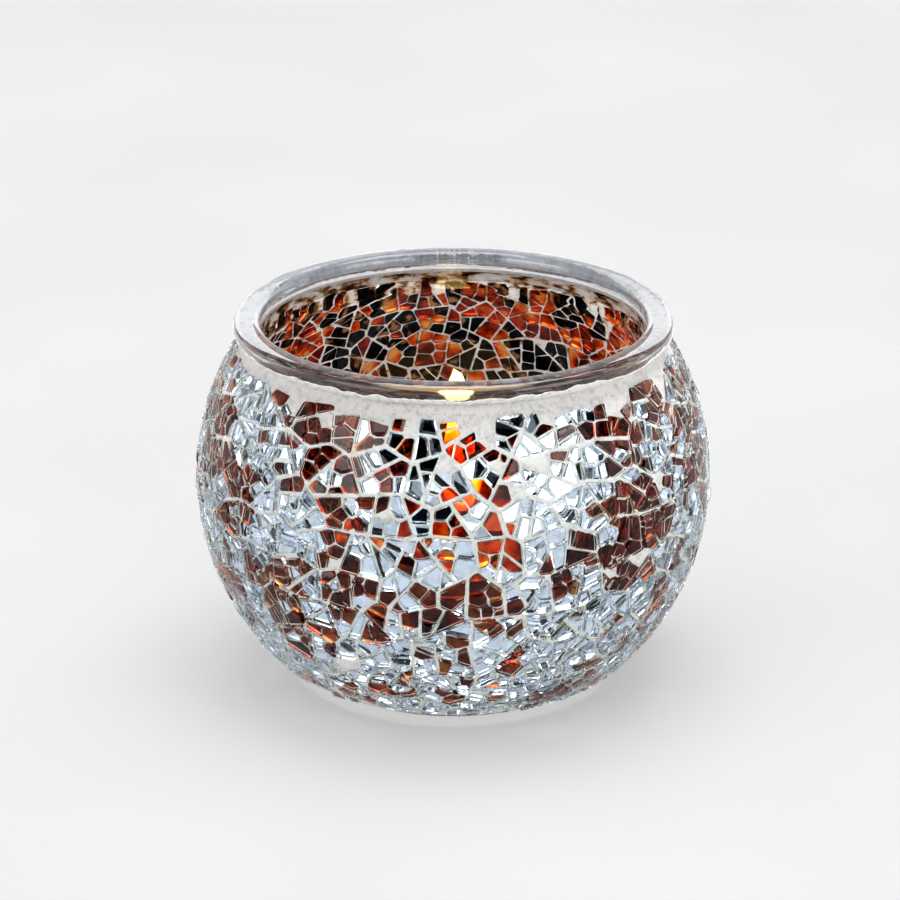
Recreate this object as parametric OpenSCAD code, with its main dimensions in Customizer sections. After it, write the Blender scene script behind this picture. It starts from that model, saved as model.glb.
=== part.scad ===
// Globe tealight holder: a clear pressed glass bowl, clad outside with broken mirror
// glass set in grout, and a tealight that stands loose on its inner floor.
// The origin is the middle of the flat base, and Z is the axis of the bowl.

/* [Globe] */
// Diameter of the globe, over the corners of the mirror pieces
globe_d = 80; // [74:1:100]
// Diameter of the flat face that the bowl stands on
base_d = 43; // [36:0.5:46]
// Diameter of the mouth, inside the rim
mouth_d = 59; // [48:0.5:60]

/* [Glass bowl] */
// Thickness of the glass wall
wall_t = 2.8; // [2.2:0.1:3.6]
// Thickness of the glass floor
floor_t = 6.5; // [5:0.5:8]
// Width of the rim across its top
rim_w = 3.9; // [3.2:0.1:5]
// Height of the rim band
rim_h = 2.9; // [2.4:0.1:4]
// Rounding of the rim's edges
rim_round = 1.15; // [0.6:0.05:1.2]
// How far the rim stands out past the globe's surface
rim_proud = 0.7; // [0:0.1:1]
// Thickness of the glass neck under the rim
neck_t = 2; // [1.5:0.1:2.5]
// Rounding of the edge that the bowl stands on
heel_round = 2; // [1:0.1:3]

/* [Cladding] */
// Thickness of a mirror piece
mirror_t = 1.1; // [0.8:0.1:1.5]
// Depth of grout behind a mirror piece
bed_t = 0.3; // [0.2:0.05:0.4]
// How far the grout between the pieces lies below their faces
grout_low = 0.35; // [0.2:0.05:0.5]
// Height above the base at which the cladding starts
clad_start = 1.8; // [1.5:0.1:3]
// Plain grout beyond the lowest and the highest mirror pieces
clad_margin = 0.5; // [0.4:0.1:1.5]

/* [Broken pattern] */
// Number of mirror chunks round the globe
columns = 27; // [24:1:28]
// Largest area of one mirror piece, in square millimetres
piece_area = 44; // [36:1:60]
// Smallest area of one mirror piece, in square millimetres
piece_least = 2; // [1.5:0.1:4]
// Share of the pieces left out, where only grout shows
missing_share = 0.01; // [0:0.005:0.1]
// Least that a joint between two chunks is widened on each side
chunk_joint_least = 0.03; // [0.02:0.01:0.2]
// Most that a joint between two chunks is widened on each side
chunk_joint_most = 0.32; // [0.2:0.02:0.6]
// Half the narrowest joint between two pieces of one chunk
piece_joint_least = 0.12; // [0.1:0.01:0.15]
// Half the widest joint between two pieces of one chunk
piece_joint_most = 0.26; // [0.15:0.01:0.35]
// Largest lean of a mirror piece, in degrees
piece_lean = 1.2; // [0:0.1:1.5]
// Seed of the broken pattern
pattern_seed = 11; // [1:1:99]

/* [Tealight] */
// Outer diameter of the tealight's cup, over its rolled edge
cup_d = 38; // [36:0.5:40]
// Height of the cup
cup_h = 16; // [14:0.5:19]
// Thickness of the cup's aluminium
cup_t = 0.3; // [0.2:0.05:0.4]
// Radius of the cup's rolled edge
cup_roll = 0.6; // [0.45:0.05:0.8]
// How far the wax lies below the cup's edge
wax_low = 2.3; // [1.6:0.1:6]
// Diameter of the wick
wick_d = 1.5; // [1.2:0.1:2]
// Height of the wick above the wax
wick_show = 7.5; // [5:0.5:10]
// Diameter of the wick's tin foot
foot_d = 12.5; // [10:0.5:15]
// Thickness of the tin foot
foot_t = 0.3; // [0.2:0.05:0.5]
// Height of the collar that holds the wick, above the foot
collar_h = 3; // [2:0.5:5]
// Wall of the collar
collar_t = 0.3; // [0.2:0.05:0.4]

/* [Hidden] */
$fn = 240;
full_turn = 360;

// Number of rows of mirror chunks, each a node of its own
rows = 9;

// Radii of the globe's layers, from the mirror pieces' corners in to the cavity. A flat
// piece touches the globe's surface at its corners only, so its face lies corner_rise below.
corner_rise = 0.3;
clad_r = globe_d / 2;
mirror_back = clad_r - corner_rise - mirror_t;
grout_r = clad_r - corner_rise - grout_low;
glass_r = mirror_back - bed_t;
cavity_r = glass_r - wall_t;

mouth_r = mouth_d / 2;
neck_r = mouth_r + neck_t;
rim_r = mouth_r + rim_w;

// The heel is a round tucked into the corner between the globe and the base
heel_r = base_d / 2 - 0.35 * heel_round;
globe_centre = heel_round + sqrt(pow(glass_r - heel_round, 2) - pow(heel_r, 2));
heel_top = globe_centre - (globe_centre - heel_round) * glass_r / (glass_r - heel_round);
rim_bottom = globe_centre + sqrt(pow(clad_r, 2) - pow(rim_r - rim_proud, 2));
bowl_h = rim_bottom + rim_h;

// The mirror pieces end where their backs would meet the neck
clad_end = min(rim_bottom, globe_centre + sqrt(pow(mirror_back, 2) - pow(neck_r, 2)));
lat_low = asin((clad_start + clad_margin - globe_centre) / clad_r);
lat_high = asin((clad_end - clad_margin - globe_centre) / clad_r);
lat_step = (lat_high - lat_low) / rows;
lon_step = full_turn / columns;

cup_r = cup_d / 2 - cup_roll;
wax_r = cup_r - cup_t;
wax_h = cup_h - cup_t - wax_low;

// ---- outlines ----

function sum(v, i = 0, s = 0) = i < len(v) ? sum(v, i + 1, s + v[i]) : s;
function mean(p) = [sum([for (q = p) q.x]), sum([for (q = p) q.y])] / len(p);
function area(p) = let (n = len(p))
    n < 3 ? 0 : sum([for (i = [0:n - 1]) cross(p[i], p[(i + 1) % n])]) / 2;
function turned(v, a) = [v.x * cos(a) - v.y * sin(a), v.x * sin(a) + v.y * cos(a)];
function blend(least, most, t) = least + (most - least) * t;

// The part of a convex outline that lies on the normal's side of a line
function clipped(p, point, normal) = let (n = len(p))
    n < 3 ? [] : [for (i = [0:n - 1])
        let (a = p[i], b = p[(i + 1) % n])
        let (da = (a - point) * normal, db = (b - point) * normal)
        each concat(da >= 0 ? [a] : [], da * db < 0 ? [a + (b - a) * da / (da - db)] : [])];

// A convex outline, listed anticlockwise, with every edge moved in by a gap
function inset(p, gap) = inset_from(p, p, gap, 0);
function inset_from(p, rest, gap, i) = i >= len(p) ? rest :
    let (a = p[i], edge = p[(i + 1) % len(p)] - a)
    let (normal = [-edge.y, edge.x] / norm(edge))
    inset_from(p, clipped(rest, a + normal * gap, normal), gap, i + 1);

// The way from a point to the corner of an outline that is farthest from it
function longest(p, c) = let (d = [for (q = p) norm(q - c)])
    [for (i = [0:len(p) - 1]) if (d[i] == max(d)) p[i] - c][0];

// An outline broken by cracks that run across its long way, until every piece is small
function broken(p, seed) = let (r = rands(0, 1, 3, seed))
    area(p) < piece_area * blend(0.3, 1, r[0]) ? [p] :
    let (c = mean(p), way = longest(p, c))
    let (normal = turned(way / norm(way), 70 * (r[1] - 0.5)))
    let (point = c + way * 0.5 * (r[2] - 0.5))
    concat(broken(clipped(p, point, normal), seed * 1.7 + 13),
           broken(clipped(p, point, -normal), seed * 1.3 + 29));

// ---- places on the globe, by longitude and latitude ----

function outward(lon, lat) = [cos(lat) * cos(lon), cos(lat) * sin(lon), sin(lat)];
function south(lon, lat) = [sin(lat) * cos(lon), sin(lat) * sin(lon), -cos(lat)];
function east(lon) = [-sin(lon), cos(lon), 0];
function lon_of(v) = atan2(v.y, v.x);
function lat_of(v) = asin(v.z / norm(v));

// Where a ray from the globe's middle meets the plane that the mirror pieces' backs lie
// on at lon, lat, as distances south and east, and the ray to such a point. Straight
// edges stay straight from one such plane to the next, so neighbours share their joints.
function on_plane(ray, lon, lat) =
    [ray * south(lon, lat), ray * east(lon)] * mirror_back / (ray * outward(lon, lat));
function ray_to(p, lon, lat) =
    outward(lon, lat) * mirror_back + south(lon, lat) * p.x + east(lon) * p.y;

// ---- the broken pattern ----

// The corners of the chunks form a shaken honeycomb: corner i of line j. The first and
// the last line keep inside the cladding.
half_steps = 2 * columns;
shake = rands(-0.2, 0.2, 2 * half_steps * (rows + 1), pattern_seed);
function within(j, lift) = j == 0 ? abs(lift) / 3 : j == rows ? -abs(lift) / 3 : lift;
function corner(i, j) = let (k = 2 * (i % half_steps + half_steps * j))
    let (lift = ((i + j) % 2 == 0 ? 1 : -1) / 7 + shake[k + 1])
    outward((i / 2 + shake[k]) * lon_step, lat_low + (j + within(j, lift)) * lat_step);

// The mirror pieces of the chunk that starts at corner i of line j. Each piece is its
// longitude, its latitude, its outline and its two leans.
function chunk_pieces(i, j) =
    let (lon = (i + 1) * lon_step / 2, lat = lat_low + (j + 0.5) * lat_step)
    let (ring = [corner(i, j), corner(i + 1, j), corner(i + 2, j),
                 corner(i + 2, j + 1), corner(i + 1, j + 1), corner(i, j + 1)])
    let (seed = pattern_seed + 7 * i + 1013 * j, r = rands(0, 1, 1, seed)[0])
    let (outline = [for (ray = ring) on_plane(ray, lon, lat)])
    let (chunk = inset(outline, blend(chunk_joint_least, chunk_joint_most, r * r)))
    let (parts = broken(chunk, seed + 0.5))
    [for (k = [0:len(parts) - 1])
        let (s = rands(0, 1, 4, seed + 31.7 * k + 3))
        let (p = inset(parts[k], blend(piece_joint_least, piece_joint_most, s[0] * s[0])))
        if (area(p) > piece_least && s[1] > missing_share)
            let (middle = ray_to(mean(p), lon, lat))
            let (to_lon = lon_of(middle), to_lat = lat_of(middle))
            [to_lon, to_lat, [for (q = p) on_plane(ray_to(q, lon, lat), to_lon, to_lat)],
             [blend(-piece_lean, piece_lean, s[2]), blend(-piece_lean, piece_lean, s[3]), 0]]];

pieces = [for (j = [0:rows - 1]) [for (c = [0:columns - 1]) each chunk_pieces(2 * c + j % 2, j)]];

// ---- glass ----

module rounded_band(x, y, w, h, r) {
    translate([x + r, y]) square([w - 2 * r, h]);
    translate([x, y + r]) square([w, h - 2 * r]);
    for (dx = [r, w - r], dy = [r, h - r])
        translate([x + dx, y + dy]) circle(r);
}

module bowl_outside() {
    intersection() {
        translate([0, globe_centre]) circle(glass_r);
        translate([0, heel_top]) square([glass_r, rim_bottom - heel_top]);
    }
    translate([heel_r, heel_round]) circle(heel_round);
    square([heel_r, heel_round]);
    translate([0, globe_centre]) square([neck_r, rim_bottom + rim_h / 2 - globe_centre]);
    rounded_band(mouth_r, rim_bottom, rim_w, rim_h, rim_round);
}

module cavity_outline() {
    intersection() {
        translate([0, globe_centre]) circle(cavity_r);
        translate([0, floor_t]) square([cavity_r, rim_bottom - floor_t]);
    }
    translate([0, globe_centre]) square([mouth_r, bowl_h]);
}

module glass_bowl() {
    color("#dfeee8")
    rotate_extrude()
    difference() {
        bowl_outside();
        cavity_outline();
    }
}

// ---- cladding ----

module mirror_row(number) {
    color("#c9cdd4")
    translate([0, 0, globe_centre])
    for (piece = pieces[number - 1])
        rotate([0, 90 - piece[1], piece[0]])
        translate([0, 0, mirror_back])
        rotate(piece[3])
        linear_extrude(mirror_t) polygon(piece[2]);
}

module grout() {
    color("#e6e2de")
    difference() {
        intersection() {
            translate([0, 0, globe_centre]) sphere(grout_r);
            translate([0, 0, clad_start]) cylinder(r = clad_r, h = rim_bottom - clad_start);
        }
        translate([0, 0, globe_centre]) sphere(glass_r);
        translate([0, 0, globe_centre]) cylinder(r = neck_r, h = bowl_h);
        for (number = [1:rows]) mirror_row(number);
    }
}

// ---- tealight ----

module tealight_cup() {
    color("#c3c5c8")
    translate([0, 0, floor_t])
    rotate_extrude() {
        square([cup_r, cup_t]);
        translate([cup_r - cup_t, 0]) square([cup_t, cup_h - cup_roll]);
        translate([cup_r, cup_h - cup_roll]) circle(cup_roll);
    }
}

module wick() {
    color("#d8cdb8")
    translate([0, 0, floor_t + cup_t])
    cylinder(d = wick_d, h = wax_h + wick_show);
}

module foot_outside() {
    translate([0, 0, floor_t + cup_t]) {
        cylinder(d = foot_d, h = foot_t);
        cylinder(r = wick_d / 2 + collar_t, h = foot_t + collar_h);
    }
}

module wick_foot() {
    color("#a9a9a6")
    difference() {
        foot_outside();
        wick();
    }
}

module wax() {
    color("#f3ead2")
    difference() {
        translate([0, 0, floor_t + cup_t]) cylinder(r = wax_r, h = wax_h);
        foot_outside();
        wick();
    }
}

glass_bowl();
grout();
mirror_row(1);  // mirror_row_1
mirror_row(2);  // mirror_row_2
mirror_row(3);  // mirror_row_3
mirror_row(4);  // mirror_row_4
mirror_row(5);  // mirror_row_5
mirror_row(6);  // mirror_row_6
mirror_row(7);  // mirror_row_7
mirror_row(8);  // mirror_row_8
mirror_row(9);  // mirror_row_9
tealight_cup();
wax();
wick();
wick_foot();
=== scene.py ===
"""Globe tealight holder with a lit tealight.

The bowl is pressed glass. It is clad in broken mirror glass, set in grout.
"""

import math
import random

import bmesh
import bpy
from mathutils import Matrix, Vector, geometry, noise
from mathutils.bvhtree import BVHTree


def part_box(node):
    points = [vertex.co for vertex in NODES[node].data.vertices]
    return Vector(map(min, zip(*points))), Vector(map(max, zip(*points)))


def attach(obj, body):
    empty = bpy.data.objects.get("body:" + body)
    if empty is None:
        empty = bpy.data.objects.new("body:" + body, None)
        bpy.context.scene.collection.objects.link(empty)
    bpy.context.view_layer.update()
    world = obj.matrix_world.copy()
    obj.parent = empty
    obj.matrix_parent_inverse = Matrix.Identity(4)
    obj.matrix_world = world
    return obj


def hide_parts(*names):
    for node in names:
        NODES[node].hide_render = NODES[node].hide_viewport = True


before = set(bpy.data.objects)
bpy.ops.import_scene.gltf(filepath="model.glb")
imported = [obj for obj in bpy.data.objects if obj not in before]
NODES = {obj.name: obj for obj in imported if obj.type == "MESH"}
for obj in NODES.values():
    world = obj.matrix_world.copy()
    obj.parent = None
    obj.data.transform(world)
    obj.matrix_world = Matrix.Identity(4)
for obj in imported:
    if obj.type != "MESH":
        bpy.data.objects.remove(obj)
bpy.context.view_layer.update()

bl_info = {
    "name": "Mirror mosaic tealight holder",
    "version": (1, 0, 0),
    "blender": (4, 5, 0),
    "location": "View3D > Sidebar > Tealight holder",
    "description": "Builds a glass tealight holder clad in broken mirror pieces, and its tealight",
    "category": "Add Mesh",
}

MM = 0.001
MIRROR_ROWS = sorted(name for name in NODES if name.startswith("mirror_row_"))
RIM_EDGE = 1.15 * MM  # radius of the rim's rounded edges
FOIL = 0.3 * MM  # thickness of the cup, with its crimps


# ---- measures taken from the frame ----


def ray_radius(name, height, from_axis):
    """Radius at which a level ray meets a node, from the axis outward or from outside inward."""
    mesh = NODES[name].data
    tree = BVHTree.FromPolygons([v.co for v in mesh.vertices], [p.vertices for p in mesh.polygons])
    start = Vector((0 if from_axis else 1, 0, height))
    hit = tree.ray_cast(start, Vector((1 if from_axis else -1, 0, 0)))[0]
    return hit.x


def measured():
    """Sizes of the bowl, its cladding and its tealight, in metres."""
    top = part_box("glass_bowl")[1].z
    rim_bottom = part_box("grout")[1].z
    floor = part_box("tealight_cup")[0].z
    low, high = floor + 0.25 * (top - floor), floor + 0.6 * (top - floor)
    near, far = ray_radius("glass_bowl", low, True), ray_radius("glass_bowl", high, True)
    centre = (near**2 - far**2 + low**2 - high**2) / (2 * (low - high))
    heel = max(v.co.xy.length for v in NODES["glass_bowl"].data.vertices if v.co.z < 1e-6)
    return {
        "top": top,
        "rim_bottom": rim_bottom,
        "floor": floor,
        "centre": centre,
        "cavity": math.hypot(near, low - centre),
        "glass": ray_radius("grout", centre, True),
        "grout": ray_radius("grout", centre, False),
        "mouth": ray_radius("glass_bowl", (top + rim_bottom) / 2, True),
        "rim": ray_radius("glass_bowl", (top + rim_bottom) / 2, False),
        "neck": ray_radius("grout", rim_bottom - 0.2 * MM, True),
        "heel": heel,
        "clad_bottom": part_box("grout")[0].z,
        "cup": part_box("tealight_cup")[1].x,
        "cup_top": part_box("tealight_cup")[1].z,
        "wax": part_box("wax")[1].x,
        "wax_top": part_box("wax")[1].z,
        "wick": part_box("wick")[1].x,
        "wick_top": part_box("wick")[1].z,
    }


SIZE = measured()


# ---- node and mesh helpers ----


def linear(colour):
    """An sRGB hex colour as linear red, green, blue and full alpha."""
    parts = [int(colour[i : i + 2], 16) / 255 for i in (1, 3, 5)]
    return [p / 12.92 if p <= 0.04045 else ((p + 0.055) / 1.055) ** 2.4 for p in parts] + [1.0]


def add_node(tree, kind, settings=None, inputs=None, stops=None):
    """Adds a node. An input is a value, or an earlier node's output socket to link from."""
    made = tree.nodes.new(kind)
    for name, value in (settings or {}).items():
        setattr(made, name, value)
    for name, value in (inputs or {}).items():
        if isinstance(value, bpy.types.NodeSocket):
            tree.links.new(value, made.inputs[name])
        else:
            made.inputs[name].default_value = value
    if stops:
        ramp = made.color_ramp
        while len(ramp.elements) < len(stops):
            ramp.elements.new(0.5)
        for element, (position, colour) in zip(ramp.elements, stops):
            element.position = position
            element.color = linear(colour)
    return made


def grain(millimetres):
    """The scale of a pattern whose grains or waves are this far across.

    A size such as 10 / 9 stands for nine grains in ten millimetres.
    """
    return 1 / (millimetres * MM)


def new_material(name):
    """An empty node material, its tree, and the object coordinates its patterns lie in."""
    material = bpy.data.materials.new(name)
    material.use_nodes = True
    tree = material.node_tree
    tree.nodes.clear()
    return material, tree, add_node(tree, "ShaderNodeTexCoord").outputs["Object"]


def finish_material(tree, surface):
    """Links a surface to the material's output."""
    add_node(tree, "ShaderNodeOutputMaterial", inputs={"Surface": surface})


def let_light_through(tree, shader, tint):
    """Lets shadow rays pass a glass shader, tinted, so what lies behind it is lit."""
    path = add_node(tree, "ShaderNodeLightPath")
    clear = add_node(tree, "ShaderNodeBsdfTransparent", inputs={"Color": linear(tint)})
    return add_node(
        tree,
        "ShaderNodeMixShader",
        inputs={0: path.outputs["Is Shadow Ray"], 1: shader, 2: clear.outputs[0]},
    ).outputs[0]


def new_object(name, vertices, faces, materials, face_slots=None, smooth_angle=None):
    """A mesh object with its materials, its faces' slots and its shading."""
    mesh = bpy.data.meshes.new(name)
    mesh.from_pydata([tuple(v) for v in vertices], [], faces)
    for material in materials:
        mesh.materials.append(material)
    if face_slots:
        mesh.polygons.foreach_set("material_index", face_slots)
    if smooth_angle is not None:
        mesh.polygons.foreach_set("use_smooth", [True] * len(mesh.polygons))
        mesh.set_sharp_from_angle(angle=math.radians(smooth_angle))
    mesh.update()
    made = bpy.data.objects.new(name, mesh)
    bpy.context.scene.collection.objects.link(made)
    return made


def arc(centre, radius, start, end, count):
    """Points (r, z) along an arc, its angles in degrees from the outward direction."""
    steps = [math.radians(start + (end - start) * i / count) for i in range(count + 1)]
    return [(centre[0] + radius * math.cos(a), centre[1] + radius * math.sin(a)) for a in steps]


def softened(path, index, radius, count=6):
    """The path with one corner rounded by a curve that starts a given way before it."""
    before, corner, after = Vector(path[index - 1]), Vector(path[index]), Vector(path[index + 1])
    start = corner + (before - corner).normalized() * min(radius, (before - corner).length * 0.45)
    end = corner + (after - corner).normalized() * min(radius, (after - corner).length * 0.45)
    curve = []
    for i in range(count + 1):
        t = i / count
        curve.append(tuple(start * (1 - t) ** 2 + corner * 2 * t * (1 - t) + end * t * t))
    return path[:index] + curve + path[index + 1 :]


def lathe(name, path, segments, materials, slot_of=None, shift=None, smooth_angle=50):
    """Turns a path of (r, z) points round Z. A point on the axis becomes one vertex."""
    vertices, rings = [], []
    for k, (r, z) in enumerate(path):
        if r < 1e-7:
            rings.append([len(vertices)] * segments)
            vertices.append(Vector((0, 0, z)))
            continue
        rings.append([len(vertices) + i for i in range(segments)])
        for i in range(segments):
            a = math.tau * i / segments
            point = Vector((r * math.cos(a), r * math.sin(a), z))
            vertices.append(point + shift(point, k) if shift else point)
    faces, slots = [], []
    for k, (low, high) in enumerate(zip(rings, rings[1:])):
        for i in range(segments):
            j = (i + 1) % segments
            ring = [low[i], low[j], high[j], high[i]]
            ring = [v for n, v in enumerate(ring) if v not in ring[:n]]
            if len(ring) > 2:
                faces.append(ring)
                slots.append(slot_of(k) if slot_of else 0)
    return new_object(name, vertices, faces, materials, slots, smooth_angle)


# ---- materials ----


def pressed_soda_glass(name, tint, stretch, strength, roughness):
    """Soda-lime glass, pressed: clear, its walls uneven; the rim, fire polished, has short ribs."""
    material, tree, place = new_material(name)
    drawn = add_node(tree, "ShaderNodeMapping", inputs={"Vector": place, "Scale": stretch})
    waves = add_node(
        tree,
        "ShaderNodeTexNoise",
        inputs={
            "Vector": drawn.outputs[0],
            "Scale": grain(100 / 17),
            "Detail": 1.0,
            "Roughness": 0.4,
        },
    )
    bump = add_node(
        tree,
        "ShaderNodeBump",
        inputs={"Strength": strength, "Distance": 0.4 * MM, "Height": waves.outputs["Fac"]},
    )
    glass = add_node(
        tree,
        "ShaderNodeBsdfPrincipled",
        inputs={
            "Base Color": linear(tint),
            "Roughness": roughness,
            "IOR": 1.52,
            "Transmission Weight": 1.0,
            "Normal": bump.outputs[0],
        },
    )
    finish_material(tree, let_light_through(tree, glass.outputs[0], "#f5f6f7"))
    return material


def glued_glass_face(look):
    """The bowl's outer face where glue and grout wet it: it neither bends nor mirrors light."""
    material, tree, place = new_material("Soda-lime glass, glued face")
    glue = add_node(
        tree, "ShaderNodeTexNoise", inputs={"Vector": place, "Scale": grain(2), "Detail": 2.0}
    )
    tint = add_node(
        tree,
        "ShaderNodeValToRGB",
        inputs={"Fac": glue.outputs["Fac"]},
        stops=[(0.3, look.bowl_colour), (0.7, "#ffffff")],
    )
    glass = add_node(
        tree,
        "ShaderNodeBsdfPrincipled",
        inputs={
            "Base Color": tint.outputs[0],
            "Roughness": 0.0,
            "IOR": 1.0,
            "Transmission Weight": 1.0,
        },
    )
    finish_material(tree, let_light_through(tree, glass.outputs[0], "#ffffff"))
    return material


def float_glass(name, broken):
    """Float glass, clear. A polished face mirrors sharply; a broken one is rippled by hackle.

    Real hackle is finer than this, and is drawn as coarse as it needs to show.
    """
    material, tree, place = new_material(name)
    ripple = add_node(
        tree,
        "ShaderNodeTexNoise",
        inputs={
            "Vector": place,
            "Scale": grain(10 / 17) if broken else grain(4),
            "Detail": 2.0 if broken else 1.0,
            "Roughness": 0.6,
            "Distortion": 1.2 if broken else 0.0,
        },
    )
    bump = add_node(
        tree,
        "ShaderNodeBump",
        inputs={
            "Strength": 0.2 if broken else 0.05,
            "Distance": 0.12 * MM,
            "Height": ripple.outputs["Fac"],
        },
    )
    glass = add_node(
        tree,
        "ShaderNodeBsdfPrincipled",
        inputs={
            "Base Color": linear("#fafdfd"),
            "Roughness": 0.0,
            "IOR": 1.52,
            "Transmission Weight": 1.0,
            "Normal": bump.outputs[0],
        },
    )
    finish_material(tree, let_light_through(tree, glass.outputs[0], "#eef6f3"))
    return material


def silvering(look):
    """Silvered mirror coating, chemically deposited: bright, with faint grey blooms."""
    material, tree, place = new_material("Silver mirror coating")
    bloom = add_node(
        tree, "ShaderNodeTexNoise", inputs={"Vector": place, "Scale": grain(10 / 9), "Detail": 4.0}
    )
    colour = add_node(
        tree,
        "ShaderNodeValToRGB",
        inputs={"Fac": bloom.outputs["Fac"]},
        stops=[(0.3, "#ccd6e2"), (0.62, look.silver_colour)],
    )
    metal = add_node(
        tree,
        "ShaderNodeBsdfPrincipled",
        inputs={
            "Base Color": colour.outputs[0],
            "Metallic": 1.0,
            "Roughness": 0.04,
        },
    )
    finish_material(tree, metal.outputs[0])
    return material


def backing_paint():
    """Mirror backing paint, sprayed: near black brown, half gloss, uneven in thickness."""
    material, tree, place = new_material("Mirror backing paint")
    cloud = add_node(
        tree,
        "ShaderNodeTexNoise",
        inputs={"Vector": place, "Scale": grain(100 / 42), "Detail": 3.0},
    )
    colour = add_node(
        tree,
        "ShaderNodeValToRGB",
        inputs={"Fac": cloud.outputs["Fac"]},
        stops=[(0.3, "#030202"), (0.56, "#080504"), (0.6, "#6a4428"), (0.67, "#c09a70")],
    )
    paint = add_node(
        tree,
        "ShaderNodeBsdfPrincipled",
        inputs={
            "Base Color": colour.outputs[0],
            "Roughness": 0.45,
            "Specular IOR Level": 0.0,
        },
    )
    finish_material(tree, paint.outputs[0])
    return material


def red_lacquer(look):
    """Transparent red-brown lacquer, sprayed: dark against a dark room, amber against light."""
    material, tree, place = new_material("Transparent red lacquer")
    cloud = add_node(
        tree,
        "ShaderNodeTexNoise",
        inputs={"Vector": place, "Scale": grain(100 / 26), "Detail": 2.0},
    )
    colour = add_node(
        tree,
        "ShaderNodeValToRGB",
        inputs={"Fac": cloud.outputs["Fac"]},
        stops=[(0.34, "#521107"), (0.46, "#a2300b"), (0.56, "#cf5a16"), (0.68, "#e0a05c")],
    )
    film = add_node(
        tree,
        "ShaderNodeBsdfPrincipled",
        inputs={
            "Base Color": colour.outputs[0],
            "Roughness": 0.0,
            "IOR": 1.0,
            "Transmission Weight": 1.0,
        },
    )
    finish_material(tree, let_light_through(tree, film.outputs[0], look.lacquer_colour))
    return material


def cement_grout(look):
    """Cement tile grout, sponged off: chalky warm white and sandy, with painted shade that makes it
    a little darker in the hollows.
    """
    material, tree, place = new_material("Cement tile grout")
    sand_and_shade = add_node(
        tree,
        "ShaderNodeTexNoise",
        inputs={"Vector": place, "Scale": grain(10 / 9), "Detail": 5.0, "Roughness": 0.8},
    )
    # painted shade: the noise that sets the bump also darkens the colour in its hollows
    colour = add_node(
        tree,
        "ShaderNodeValToRGB",
        inputs={"Fac": sand_and_shade.outputs["Fac"]},
        stops=[(0.32, "#b6b2ae"), (0.52, look.grout_colour)],
    )
    bump = add_node(
        tree,
        "ShaderNodeBump",
        inputs={"Strength": 0.9, "Distance": 0.15 * MM, "Height": sand_and_shade.outputs["Fac"]},
    )
    chalk = add_node(
        tree,
        "ShaderNodeBsdfPrincipled",
        inputs={
            "Base Color": colour.outputs[0],
            "Roughness": 0.9,
            "IOR": 1.45,
            "Normal": bump.outputs[0],
        },
    )
    finish_material(tree, chalk.outputs[0])
    return material


def bedded_grout():
    """The grout's underside, wetted by glue and smeared with paint, and darker towards the neck.

    It is white to dark brown, with a faint painted glow: it emits its own colour, which stands in
    for the daylight that seeps through the grout.
    """
    material, tree, place = new_material("Cement grout, bedded in glue, painted glow")
    wiped = add_node(tree, "ShaderNodeMapping", inputs={"Vector": place, "Scale": (1, 1, 2.5)})
    smear = add_node(
        tree,
        "ShaderNodeTexNoise",
        inputs={
            "Vector": wiped.outputs[0],
            "Scale": grain(10 / 3),
            "Detail": 3.0,
            "Roughness": 0.6,
        },
    )
    height = add_node(tree, "ShaderNodeSeparateXYZ", inputs={"Vector": place})
    # the colour is made darker towards the neck, just under the rim
    neck = add_node(
        tree,
        "ShaderNodeMapRange",
        inputs={
            "Value": height.outputs["Z"],
            "From Min": SIZE["rim_bottom"] - 6 * MM,
            "From Max": SIZE["rim_bottom"] - 3 * MM,
            "To Max": 0.13,
        },
    )
    smeared_darker_at_neck = add_node(
        tree,
        "ShaderNodeMath",
        {"operation": "SUBTRACT"},
        {0: smear.outputs["Fac"], 1: neck.outputs[0]},
    )
    colour = add_node(
        tree,
        "ShaderNodeValToRGB",
        inputs={"Fac": smeared_darker_at_neck.outputs[0]},
        stops=[(0.26, "#2a1912"), (0.34, "#a07850"), (0.4, "#dcd0c4"), (0.5, "#f6f8fb")],
    )
    glue = add_node(
        tree,
        "ShaderNodeBsdfPrincipled",
        inputs={
            "Base Color": colour.outputs[0],
            "Roughness": 0.6,
            "Specular IOR Level": 0.0,
            # painted glow: the grout emits its own colour, standing in for daylight seeping through
            # it
            "Emission Color": colour.outputs[0],
            "Emission Strength": 0.12,
        },
    )
    finish_material(tree, glue.outputs[0])
    return material


def drawn_aluminium():
    """Aluminium foil, deep drawn: bright, with fine draw lines up the wall.

    Real draw lines are finer than this, and are drawn as coarse as they need to show.
    """
    material, tree, place = new_material("Deep-drawn aluminium")
    lines = add_node(
        tree,
        "ShaderNodeMapping",
        inputs={"Vector": place, "Scale": (grain(10 / 22), grain(10 / 22), grain(100 / 12))},
    )
    streaks = add_node(
        tree, "ShaderNodeTexNoise", inputs={"Vector": lines.outputs[0], "Scale": 1.0, "Detail": 3.0}
    )
    shine = add_node(
        tree,
        "ShaderNodeMapRange",
        inputs={"Value": streaks.outputs["Fac"], "To Min": 0.22, "To Max": 0.42},
    )
    metal = add_node(
        tree,
        "ShaderNodeBsdfPrincipled",
        inputs={
            "Base Color": linear("#d3d5d8"),
            "Metallic": 1.0,
            "Roughness": shine.outputs[0],
        },
    )
    finish_material(tree, metal.outputs[0])
    return material


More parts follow.
